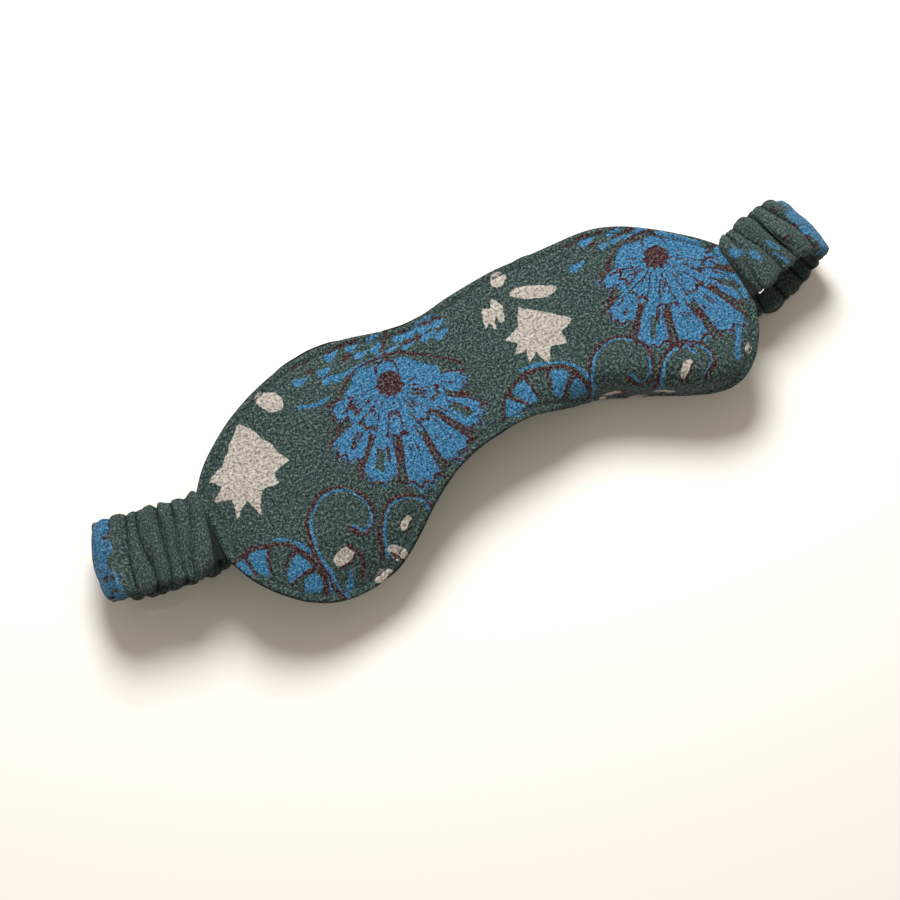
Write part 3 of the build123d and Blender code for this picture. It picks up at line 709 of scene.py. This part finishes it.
M_PRINT = printed_cotton()
M_LINING = plain_cloth("lining_cotton", (0.012, 0.034, 0.031), (0.026, 0.057, 0.052))
M_BLACK = plain_cloth("blackout_cloth", (0.012, 0.012, 0.013), (0.022, 0.022, 0.024), 0.35)
M_WAD = plain_cloth("wadding", (0.70, 0.69, 0.67), (0.82, 0.81, 0.79), 1.3, 0.3, scale=0.5)
M_ELASTIC = plain_cloth("elastic", (0.60, 0.58, 0.54), (0.74, 0.72, 0.68), 1.1)
M_CAD = plain_cloth("turned_cotton", (0.012, 0.034, 0.031), (0.026, 0.057, 0.052), coord="object")
M_CAD_EL = plain_cloth("elastic_end", (0.60, 0.58, 0.54), (0.74, 0.72, 0.68), 1.1, coord="object")
M_THREAD = thread_material()


def give(ob, mat):
    ob.data.materials.clear()
    ob.data.materials.append(mat)


# ------------------------------------------------------------------ mask
RIM, RIM_LEN = outline(4200)


def edge_wobble(x, seed):
    fade = smooth((HALF - np.abs(x)) / 8.0)
    return 0.32 * fbm(x, np.zeros_like(x), seed, 13.0, 2) * fade


def rim_distance(x, y):
    """Distance in from the rim, and the place along it, for flat cloth points."""
    from mathutils.kdtree import KDTree
    tree = KDTree(len(RIM))
    for i, q in enumerate(RIM):
        tree.insert((q[0], q[1], 0), i)
    tree.balance()
    xf, yf = x.ravel(), y.ravel()
    idx = np.array([tree.find((float(a), float(b), 0))[1] for a, b in zip(xf, yf)])
    best = np.full(xf.shape, 1e9)
    for k in (-1, 0):
        a, b = RIM[(idx + k) % len(RIM)], RIM[(idx + k + 1) % len(RIM)]
        ab = b - a
        t = np.clip(((xf - a[:, 0]) * ab[:, 0] + (yf - a[:, 1]) * ab[:, 1]) / ((ab**2).sum(1) + 1e-12), 0, 1)
        best = np.minimum(best, np.hypot(xf - a[:, 0] - t * ab[:, 0], yf - a[:, 1] - t * ab[:, 1]))
    return best.reshape(x.shape), (idx * RIM_LEN / len(RIM)).reshape(x.shape)


def relief(x, y, d, a, plateau=0.75, seed=0):
    """Height of the outer cloth above the mask's middle surface."""
    r = np.clip(d / 1.05, 0, 1)
    h = 0.04 + 1.12 * np.sqrt(np.clip(1 - (1 - r) ** 2, 0, 1))
    h = h - 0.50 * np.exp(-(((d - 3.0) / 0.62) ** 2))
    h = h + plateau * smooth((d - 3.3) / 8.0)
    # stitches pull the cloth in, between them it stands up
    h = h + 0.13 * np.cos(2 * np.pi * a / 2.75) * np.exp(-(((d - 2.2) / 1.3) ** 2)) * r
    puck = fbm(a, d * 0.35, 31 + seed, 4.2, 2)
    h = h + 0.34 * puck * np.exp(-(((d - 4.5) / 3.4) ** 2)) * smooth(d / 1.4)
    h = h + (0.50 * fbm(x, y, 3 + seed, 26.0, 2) + 0.22 * fbm(x + 0.6 * y, y, 5 + seed, 9.0, 2) + 0.07 * vnoise(x, y, 9 + seed, 2.6) + 0.045 * vnoise(x, y, 12 + seed, 1.5)) * smooth((d - 3.4) / 7.0)
    return h


EDGE = [0, 0.12, 0.28, 0.5, 0.8, 1.2, 1.7, 2.15, 2.5, 2.8, 3.05, 3.35, 3.7, 4.2, 4.9]


def mask_grid(pitch_x, rows, edge=EDGE, inset=0.0):
    e = np.array(edge, float)
    half = HALF - inset
    n = int(2 * (half - e[-1]) / pitch_x)
    xs = np.concatenate([-half + e, np.linspace(-half + e[-1], half - e[-1], n + 1)[1:-1], (half - e)[::-1]])
    nv = len(e) * 2 + rows
    X = np.repeat(xs[:, None], nv, 1)
    hi = curve(TOP, xs) + edge_wobble(xs, 2) - inset * 1.3
    lo = curve(BOTTOM, xs) + edge_wobble(xs, 4) + inset * 1.35
    Y = np.empty_like(X)
    m = len(e)
    for i in range(len(xs)):
        scale = min(1.0, (hi[i] - lo[i]) * 0.4 / e[-1])
        ee = e * scale
        Y[i, :m] = lo[i] + ee
        Y[i, -m:] = (hi[i] - ee)[::-1]
        Y[i, m - 1:nv - m + 1] = np.linspace(lo[i] + ee[-1], hi[i] - ee[-1], rows + 2)
    return X, Y


def to_world(p):
    return (p + np.array([DX, DY, 0.0])) * MM


def closed_shell(name, X, Y, h_out, h_in, attrs):
    """Closed thin piece between two heights over the same flat grid."""
    nu, nv = X.shape
    p, n = with_normals(X, Y)
    A = to_world(p + n * h_out[..., None]).reshape(-1, 3)
    Bv = to_world(p + n * h_in[..., None]).reshape(-1, 3)
    F = grid_faces(nu, nv)
    N = nu * nv
    G = F[:, ::-1] + N
    i = np.arange(nu - 1)
    j = np.arange(nv - 1)
    s1 = np.stack([i * nv, i * nv + N, (i + 1) * nv + N, (i + 1) * nv], -1)
    s2 = np.stack([(i + 1) * nv + nv - 1, (i + 1) * nv + nv - 1 + N, i * nv + nv - 1 + N, i * nv + nv - 1], -1)
    s3 = np.stack([j + 1, j + 1 + N, j + N, j], -1)
    b = (nu - 1) * nv
    s4 = np.stack([b + j, b + j + N, b + j + 1 + N, b + j + 1], -1)
    faces = np.concatenate([F, G, s1, s2, s3, s4])
    flip = h_out.mean() < h_in.mean()
    if flip:
        faces = faces[:, ::-1]
    ob = new_mesh(name, np.concatenate([A, Bv]), np.ascontiguousarray(faces))
    for k, v in attrs.items():
        v = np.asarray(v)
        v = v.reshape(-1, 3) if v.ndim == 3 else v.ravel()
        put(ob, k, np.concatenate([v, v]))
    return ob


X, Y = mask_grid(0.46, 150)
D, A = rim_distance(X, Y)
H = relief(X, Y, D, A)
crease = np.exp(-(((X - 6.7 - 0.02 * Y) / 0.45) ** 2)) * smooth((Y + 8) / 8) * smooth((26 - Y) / 8)
H = H - 0.14 * crease
P = front_print(X.ravel(), Y.ravel())
# painted light and shade for the front: paler along the nose crease and on the rolled rim's crest (painted highlight,
# partly rubbed wear), darker at the very rim and in the stitch groove (painted shade)
wear = 0.75 * crease.ravel() + 0.35 * np.exp(-(((D.ravel() - 1.3) / 0.9) ** 2)) - 0.9 * np.exp(-((D.ravel() / 0.45) ** 2)) - 0.55 * np.exp(-(((D.ravel() - 3.0) / 0.4) ** 2))
flat = np.stack([X, Y, np.zeros_like(X)], -1)
front = closed_shell("mask_front", X, Y, H, H * 0.62, {"flat": flat, "sd_blue": P.blue, "sd_maroon": P.maroon, "sd_cream": P.cream, "wear": wear})
give(front, M_PRINT)
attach(front, "mask")
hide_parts("front_panel", "front_seam_allowance")

Xc, Yc = mask_grid(1.0, 76)
Dc, Ac = rim_distance(Xc, Yc)
Hl = relief(Xc, Yc, Dc, Ac, 0.35, 50)
flat_c = np.stack([Xc, Yc, np.zeros_like(Xc)], -1)
lining = closed_shell("mask_lining", Xc, Yc, -Hl, -Hl * 0.62, {"flat": flat_c})
give(lining, M_LINING)
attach(lining, "mask")
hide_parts("back_lining", "lining_seam_allowance")

Xi, Yi = mask_grid(2.2, 36, [0, 0.8, 1.8], inset=6.0)
Di, Ai = rim_distance(Xi, Yi)
Hi = np.minimum(relief(Xi, Yi, Di, Ai), 9)
flat_i = np.stack([Xi, Yi, np.zeros_like(Xi)], -1)
inter = closed_shell("interlining_layer", Xi, Yi, Hi * 0.56, Hi * 0.46, {"flat": flat_i})
give(inter, M_BLACK)
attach(inter, "mask")
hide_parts("blackout_interlining")
pad = closed_shell("wadding_layer", Xi, Yi, Hi * 0.44, -0.44 * relief(Xi, Yi, Di, Ai, 0.35, 50), {"flat": flat_i})
give(pad, M_WAD)
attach(pad, "mask")
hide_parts("wadding")

flat_area = float(np.trapz(curve(TOP, np.linspace(-105, 105, 400)) - curve(BOTTOM, np.linspace(-105, 105, 400)), np.linspace(-105, 105, 400))) * 1e-6


# ------------------------------------------------------------------ topstitch
def stitch_line(inset=3.0, pitch=2.75):
    nxt, prv = np.roll(RIM, -14, 0), np.roll(RIM, 14, 0)
    t = nxt - prv
    t /= np.linalg.norm(t, axis=1, keepdims=True)
    nrm = np.stack([t[:, 1], -t[:, 0]], 1)      # the rim runs clockwise, so this points in
    q = RIM + nrm * inset
    d, _ = rim_distance(q[:, 0], q[:, 1])
    q = q[d > inset - 0.06]
    q = np.concatenate([q, q[:1]])
    s = np.concatenate([[0], np.cumsum(np.linalg.norm(np.diff(q, axis=0), axis=1))])
    n = int(round(s[-1] / pitch))
    at = lambda v: np.stack([np.interp(v % s[-1], s, q[:, 0]), np.interp(v % s[-1], s, q[:, 1])], -1)
    return at, s[-1], n


def stitches(name, side, node, seed):
    r = np.random.RandomState(seed)
    at, total, n = stitch_line()
    verts, faces = [], []
    base = 0
    ns, nr = 9, 8
    mids, arcs = [], []
    for k in range(n):
        a = (k + 0.12 + r.uniform(-0.04, 0.04)) * total / n
        b = a + total / n * 0.80
        v = np.linspace(a, b, ns)
        q = at(v)
        q = q + r.normal(0, 0.05, 2)
        mids.append(q)
        f = np.linspace(-1, 1, ns)
        arcs.append(f)
    Q = np.array(mids)
    x, y = Q[..., 0], Q[..., 1]
    d, aa = rim_distance(x, y)
    h = relief(x, y, d, aa) if side > 0 else relief(x, y, d, aa, 0.35, 50)
    p, nn = with_normals(x, y)
    nn = nn * side
    f = np.array(arcs)
    lift = 0.17 - 0.42 * np.abs(f) ** 4
    c = p + nn * (h + lift)[..., None]
    tan = np.gradient(c, axis=1)
    tan /= np.linalg.norm(tan, axis=-1, keepdims=True)
    lat = np.cross(nn, tan)
    lat /= np.linalg.norm(lat, axis=-1, keepdims=True)
    up = np.cross(tan, lat)
    rad = 0.21 * np.sqrt(np.clip(1 - f**2 * 0.93, 0.02, 1)) + 0.02
    th = np.linspace(0, 2 * np.pi, nr, endpoint=False)
    V = (c[:, :, None] + lat[:, :, None] * (rad[..., None] * np.cos(th))[..., None] * 1.15 + up[:, :, None] * (rad[..., None] * np.sin(th))[..., None] * 0.8)
    V = to_world(V.reshape(-1, 3))
    G = grid_faces(ns, nr, wrap_v=True)
    caps = [list(range(nr))[::-1], [(ns - 1) * nr + i for i in range(nr)]]
    allf = []
    for k in range(len(Q)):
        o = k * ns * nr
        allf += (G + o).tolist()
        allf += [[i + o for i in cpl] for cpl in caps]
    ob = new_mesh(name, V, [tuple(q) for q in allf])
    give(ob, M_THREAD)
    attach(ob, "mask")
    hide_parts(node)
    return ob


stitches("topstitch_front", 1, "topstitch_needle_thread", 5)
stitches("topstitch_back", -1, "topstitch_bobbin_thread", 6)
for node, mat in (("rim_seam_thread", M_THREAD), ("casing_end_left", M_CAD), ("casing_end_right", M_CAD), ("elastic_end_left", M_CAD_EL), ("elastic_end_right", M_CAD_EL)):
    give(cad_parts[node], mat)

# ------------------------------------------------------------------ strap
BEND_R, BEND_Z = 11.5, 14.5
LEFT_YAW, RIGHT_YAW, LEFT_RUN, RIGHT_RUN = 13.0, 12.0, 26.0, 24.0


def strap_path(ds=0.35):
    """Centre line from the left side seam, out, round under and along the table to the right side seam."""
    def d(s, yaw):
        a = math.radians(yaw)
        return np.array([s * math.cos(a), math.sin(a)])
    dl, dr = d(-1, LEFT_YAW), d(1, RIGHT_YAW)
    s0 = np.array([-HALF + DX, -1.0 + DY])
    s1 = np.array([HALF + DX, -1.0 + DY])
    el, er = s0 + dl * LEFT_RUN, s1 + dr * RIGHT_RUN
    pts, nrm = [], []
    for t in np.arange(-1.6, LEFT_RUN, ds):
        q = s0 + dl * t
        pts.append((q[0], q[1], Z_MID)); nrm.append((0, 0, 1))
    for a in np.arange(0, math.pi, ds / BEND_R):
        q = el + dl * BEND_R * math.sin(a)
        pts.append((q[0], q[1], BEND_Z + BEND_R * math.cos(a)))
        nrm.append((dl[0] * math.sin(a), dl[1] * math.sin(a), math.cos(a)))
    mids = np.array([el + dl * 22, el, (-104.0, 3.6), (-72.0, 8.2), (-36.0, 11.0), (0.0, 11.6), (38.0, 10.6), (74.0, 7.4), (104.0, 3.4), er, er + dr * 22])
    c = spline(mids, 60)
    k0, k1 = 60, len(c) - 61
    c = c[k0:k1 + 1]
    L = np.concatenate([[0], np.cumsum(np.linalg.norm(np.diff(c, axis=0), axis=1))])
    for t in np.arange(ds, L[-1], ds):
        pts.append((np.interp(t, L, c[:, 0]), np.interp(t, L, c[:, 1]), BEND_Z - BEND_R)); nrm.append((0, 0, -1))
    for a in np.arange(0, math.pi, ds / BEND_R):
        q = er + dr * BEND_R * math.sin(a)
        pts.append((q[0], q[1], BEND_Z - BEND_R * math.cos(a)))
        nrm.append((dr[0] * math.sin(a), dr[1] * math.sin(a), -math.cos(a)))
    for t in np.arange(RIGHT_RUN, -1.6, -ds):
        q = s1 + dr * t
        pts.append((q[0], q[1], Z_MID)); nrm.append((0, 0, 1))
    p, n = np.array(pts), np.array(nrm)
    t = np.gradient(p, axis=0)
    t /= np.linalg.norm(t, axis=1, keepdims=True)
    b = np.cross(t, n)
    b /= np.linalg.norm(b, axis=1, keepdims=True)
    n = np.cross(b, t)
    s = np.concatenate([[0], np.cumsum(np.linalg.norm(np.diff(p, axis=0), axis=1))]) - 1.6
    marks = [LEFT_RUN, LEFT_RUN + math.pi * BEND_R]
    marks += [s[-1] - 1.6 - RIGHT_RUN - math.pi * BEND_R, s[-1] - 1.6 - RIGHT_RUN]
    return s, p, t, n, b, marks


def gathers(s, lat, seed, gap, amp, slant, power):
    """Folds across the band: 0 in the valleys, up to amp on the crests, and the place within each fold."""
    r = np.random.RandomState(seed)
    v = [-9.0]
    while v[-1] < s.max() + 12:
        v.append(v[-1] + r.uniform(*gap))
    v = np.array(v)
    m = len(v)
    A_, B_, C_, a_ = r.uniform(-slant, slant, m), r.uniform(-0.6 * slant, 0.6 * slant, m), r.uniform(0, 6.28, m), r.uniform(0.45, 1.15, m)
    F_, G_ = r.uniform(-1.2, 1.2, m), r.uniform(0.0, 0.40, m)
    out = np.zeros((len(s), len(lat)))
    tt = np.zeros_like(out)
    for j, y in enumerate(lat):
        pos = v + A_ * y + B_ * np.sin(2.2 * y + C_)
        pos = np.maximum.accumulate(pos + np.arange(m) * 1e-3)
        k = np.clip(np.searchsorted(pos, s, side="right") - 1, 0, m - 2)
        w = np.maximum(pos[k + 1] - pos[k], 0.6)
        t = np.clip((s - pos[k]) / w, 0, 1)
        local = a_[k] * (1 - G_[k] * smooth(np.abs(y - F_[k]) - 0.2)) * np.clip(w / (0.5 * (gap[0] + gap[1])), 0.35, 1.25)
        out[:, j] = amp * local * np.clip((np.sin(np.pi * t) - 0.11) / 0.89, 0, 1) ** power
        tt[:, j] = 2 * t - 1
    return out, tt


def smooth_rows(a, n):
    for _ in range(n):
        a = a.copy()
        a[1:-1] = 0.25 * a[:-2] + 0.5 * a[1:-1] + 0.25 * a[2:]
    return a


def twist(s, b, marks, total):
    """Sideways shift of the band: under the mask it lies further towards the forehead than the arms do."""
    def between(lo, hi):
        return smooth((s - lo) / 16) * (1 - smooth((s - hi) / 16))
    away = -1.8 * smooth((s - 3) / 8) * (1 - smooth((s - marks[0]) / 20)) + 3.4 * between(marks[0] + 12, marks[1] + 26) + 1.6 * between(marks[2] - 8, marks[2] + 10)
    away = away + 2.0 * smooth((s - marks[3] + 14) / 18) * (1 - smooth((s - total + 9) / 8))
    return away * np.sign(b[:, 1]) + 0.5 * fbm(s, 0 * s, 83, 30.0, 2) * smooth(np.minimum(s, total - s) / 9.0)


def build_strap():
    s, p, t, n, b, marks = strap_path(0.34)
    total = s[-1] - 1.6
    nr = 132
    th = np.linspace(0, 2 * np.pi, nr, endpoint=False) + 1e-3
    c, sn = np.cos(th), np.sin(th)
    lat = np.sign(c) * np.abs(c) ** 0.62           # -1..1 across the band
    up = np.sign(sn) * np.abs(sn) ** 0.55
    # each face has its own folds; both meet at the band's edges
    face = []
    for seed in (41, 77):
        g1, t1 = gathers(s, lat, seed, (4.4, 8.0), 3.3, 2.3, 0.50)
        g2, _ = gathers(s, lat, seed + 5, (2.0, 3.6), 0.62, 1.5, 0.8)
        g1 = smooth_rows(g1, 1)
        face.append((g1 + g2 * (0.15 + 0.85 * g1 / 3.3), t1))
    wt = smooth((sn[None, :] + 0.35) / 0.7)
    G = face[0][0] * wt + face[1][0] * (1 - wt)
    T1 = face[0][1] * wt + face[1][1] * (1 - wt)
    from_seam = np.minimum(s, total - s)
    grow = smooth((from_seam - 0.2) / 4.0)
    pinch = smooth((from_seam + 0.5) / 9.0)
    on_right = smooth((s - marks[2] + 30) / 60)
    half_w = (13.4 + 1.4 * pinch) * (1 - 0.13 * on_right)
    half_t = 0.26 + 0.85 * smooth((from_seam + 0.6) / 4.5)
    G = G * (0.02 + 0.98 * grow)[:, None]
    edge_g = face[0][0][:, [int(np.argmax(lat))]] * 0.5 + face[1][0][:, [int(np.argmax(lat))]] * 0.5
    edge_l = face[0][0][:, [int(np.argmin(lat))]] * 0.5 + face[1][0][:, [int(np.argmin(lat))]] * 0.5
    sc = np.where(lat[None, :] > 0, edge_g, edge_l) * np.abs(lat[None, :]) ** 3 * grow[:, None]
    lateral = half_w[:, None] * lat[None, :] * 0.90 + np.sign(lat)[None, :] * sc * 0.62
    fine = (0.26 * fbm(s[:, None] * 1.6 + 0 * lat[None, :], lateral, 61, 3.4, 3) + 0.30 * fbm(s[:, None] + 0.4 * lateral, lateral * 0.5, 67, 5.0, 2)) * grow[:, None]
    height = half_t[:, None] * up[None, :] + np.sign(up)[None, :] * (G + fine) * (0.30 + 0.70 * np.abs(up[None, :]) ** 0.8)
    lean = 1.0 * G * vnoise(s[:, None] * 0.5, lateral * 0.3, 71, 6.0) * np.abs(up[None, :])
    drift = twist(s, b, marks, total)
    V = (p[:, None] + b[:, None] * (lateral + drift[:, None])[..., None] + n[:, None] * height[..., None] + t[:, None] * lean[..., None])
    # it lies on the table: nothing goes under it, and what rests on it is pressed flat
    z = V[..., 2]
    V[..., 2] = np.where(z < 0.9, 0.22 + 0.68 * np.exp((z - 0.9) / 0.68), z)
    depth = G / 3.3
    return s, V, lateral, depth, marks, sn


def strap_pieces():
    s, V, lateral, depth, marks, sn = build_strap()
    nu, nr = V.shape[:2]
    # one set of smooth normals for the whole tube, so that the pieces meet without a line
    whole = new_mesh("tmp", V.reshape(-1, 3) * MM, grid_faces(nu, nr, wrap_v=True))
    nm = np.empty(nu * nr * 3, np.float32)
    whole.data.vertex_normals.foreach_get("vector", nm)
    nm = nm.reshape(nu, nr, 3)
    bpy.data.objects.remove(whole)
    sflat = s[:, None] * 1.75 + 0.0 * lateral
    uflat = np.where(sn[None, :] > 0, lateral, 40 - lateral)
    P = strap_print(sflat.ravel(), uflat.ravel())
    # blue with dark dots round both outer bends
    for mid in ((marks[0] + 11.5), (marks[3] - 11.5)):
        k = np.abs(sflat / 1.75 - mid) - 4.6 + 2.6 * vnoise(sflat, uflat, 91, 4.0) + 1.2 * vnoise(sflat, uflat, 93, 1.8)
        P.blue = np.minimum(P.blue, np.where(np.abs(k) < 9, k, 9).ravel())
        for u in np.arange(-13, 14, 5.2):
            for o in (-3.6, 1.4, 6.6):
                c0 = (mid + o + 0.9 * math.sin(u)) * 1.75
                P.blob("maroon", (c0, u + 1.3 * math.cos(o)), 1.5, 0.95, 0.3)
    P.blue = P.blue.reshape(nu, nr); P.maroon = P.maroon.reshape(nu, nr); P.cream = P.cream.reshape(nu, nr)
    flat = np.stack([sflat, uflat, np.zeros_like(sflat)], -1)
    cuts = [0] + [int(np.argmin(np.abs(s - m))) for m in marks] + [nu - 1]
    names = ["casing_arm_left", "casing_bend_left", "casing_run_back", "casing_bend_right", "casing_arm_right"]
    repl = [["casing_left_arm"], ["casing_left_bend_upper", "casing_left_bend_lower"], ["casing_back_run"], ["casing_right_bend_upper", "casing_right_bend_lower"], ["casing_right_arm"]]
    out = {}
    for i, name in enumerate(names):
        a, z = cuts[i], cuts[i + 1]
        v = V[a:z + 1].reshape(-1, 3) * MM
        m = z - a + 1
        faces = [tuple(q) for q in grid_faces(m, nr, wrap_v=True).tolist()]
        # closed ends, hidden inside the next stretch
        ends = []
        for row, side in ((0, -1), (m - 1, 1)):
            ring = V[a + row]
            cen = ring.mean(0)
            ends.append(cen * MM)
            ci = m * nr + len(ends) - 1
            for j in range(nr):
                q = (row * nr + j, row * nr + (j + 1) % nr)
                faces.append((q[0], q[1], ci) if side < 0 else (q[1], q[0], ci))
        v = np.concatenate([v, np.array(ends)])
        # faces must look outwards
        faces = [f[::-1] for f in faces]
        ob = new_mesh(name, v, faces)
        cut = lambda q: np.concatenate([np.asarray(q)[a:z + 1].reshape(m * nr, -1), np.zeros((2, 3 if np.ndim(q) == 3 else 1))])
        put(ob, "flat", cut(flat))
        for key, val in (("sd_blue", P.blue), ("sd_maroon", P.maroon), ("sd_cream", P.cream)):
            put(ob, key, cut(val).ravel())
        # painted shade in the fold valleys of the strap, taken from the fold depth; paler on the crests (painted
        # highlight, partly rubbed wear)
        wv = np.clip(-1.0 + 1.55 * smooth(depth / 0.42), -1, 0.55)
        put(ob, "wear", cut(wv).ravel())
        give(ob, M_PRINT)
        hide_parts(*repl[i])
        out[name] = ob
        # keep the whole tube's normals
        nn = np.concatenate([nm[a:z + 1].reshape(-1, 3), np.array([[0, 0, 1.0], [0, 0, 1.0]])])
        loops = np.empty(len(ob.data.loops), np.int32)
        ob.data.loops.foreach_get("vertex_index", loops)
        vn = np.empty(len(ob.data.vertices) * 3, np.float32)
        ob.data.vertex_normals.foreach_get("vector", vn)
        sign = np.sign((vn.reshape(-1, 3)[: m * nr] * nn[: m * nr]).sum(1).mean())
        out[name]["_sign"] = float(sign)
        ob.data.normals_split_custom_set_from_vertices([tuple(q) for q in (nn * sign).tolist()])
    return out


def elastic_pieces():
    s, p, t, n, b, marks = strap_path(1.2)
    total = s[-1] - 1.6
    # narrower than the casing all the way, so that it never shows
    sect = [(-11.4, -0.5), (11.4, -0.5), (11.4, 0.5), (-11.4, 0.5)]
    thin = 0.3 + 0.7 * smooth(np.minimum(s, total - s) / 5.0)
    drift = twist(s, b, marks, total)
    V = np.stack([p + b * (y + drift)[:, None] + n * (z * thin)[:, None] for y, z in sect], 1)
    cuts = [2] + [int(np.argmin(np.abs(s - m))) for m in marks] + [len(s) - 3]
    repl = [["elastic_left_arm"], ["elastic_left_arm"], ["elastic_back_run"], ["elastic_right_arm"], ["elastic_right_arm"]]
    out = {}
    for i, name in enumerate(["elastic_band_arm_left", "elastic_band_bend_left", "elastic_band_run", "elastic_band_bend_right", "elastic_band_arm_right"]):
        a, z = cuts[i], cuts[i + 1]
        m = z - a + 1
        faces = [tuple(q[::-1]) for q in grid_faces(m, 4, wrap_v=True).tolist()] + [(0, 1, 2, 3), (m * 4 - 1, m * 4 - 2, m * 4 - 3, m * 4 - 4)]
        ob = new_mesh(name, V[a:z + 1].reshape(-1, 3) * MM, faces, smooth_shade=False)
        fl = np.stack([np.repeat(s[a:z + 1], 4), np.tile([-12.5, 12.5, 12.5, -12.5], m), np.zeros(m * 4)], -1)
        put(ob, "flat", fl)
        give(ob, M_ELASTIC)
        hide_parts(*repl[i])
        out[name] = ob
    return out


casing = strap_pieces()
elastic = elastic_pieces()
for group, pre in ((casing, "casing_"), (elastic, "elastic_band_")):
    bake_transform(group[pre + "arm_left"])
    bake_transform(group[pre + "arm_right"])
    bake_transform(group[pre + "bend_left"])
    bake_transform(group[pre + "bend_right"])
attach(casing["casing_run_back"], "strap_back")
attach(elastic["elastic_band_run"], "strap_back")

plain = lambda v: json.loads(json.dumps(v, default=lambda q: [float(x) for x in q]))
{"cad": plain(cad_box), "visual": plain(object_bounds())}
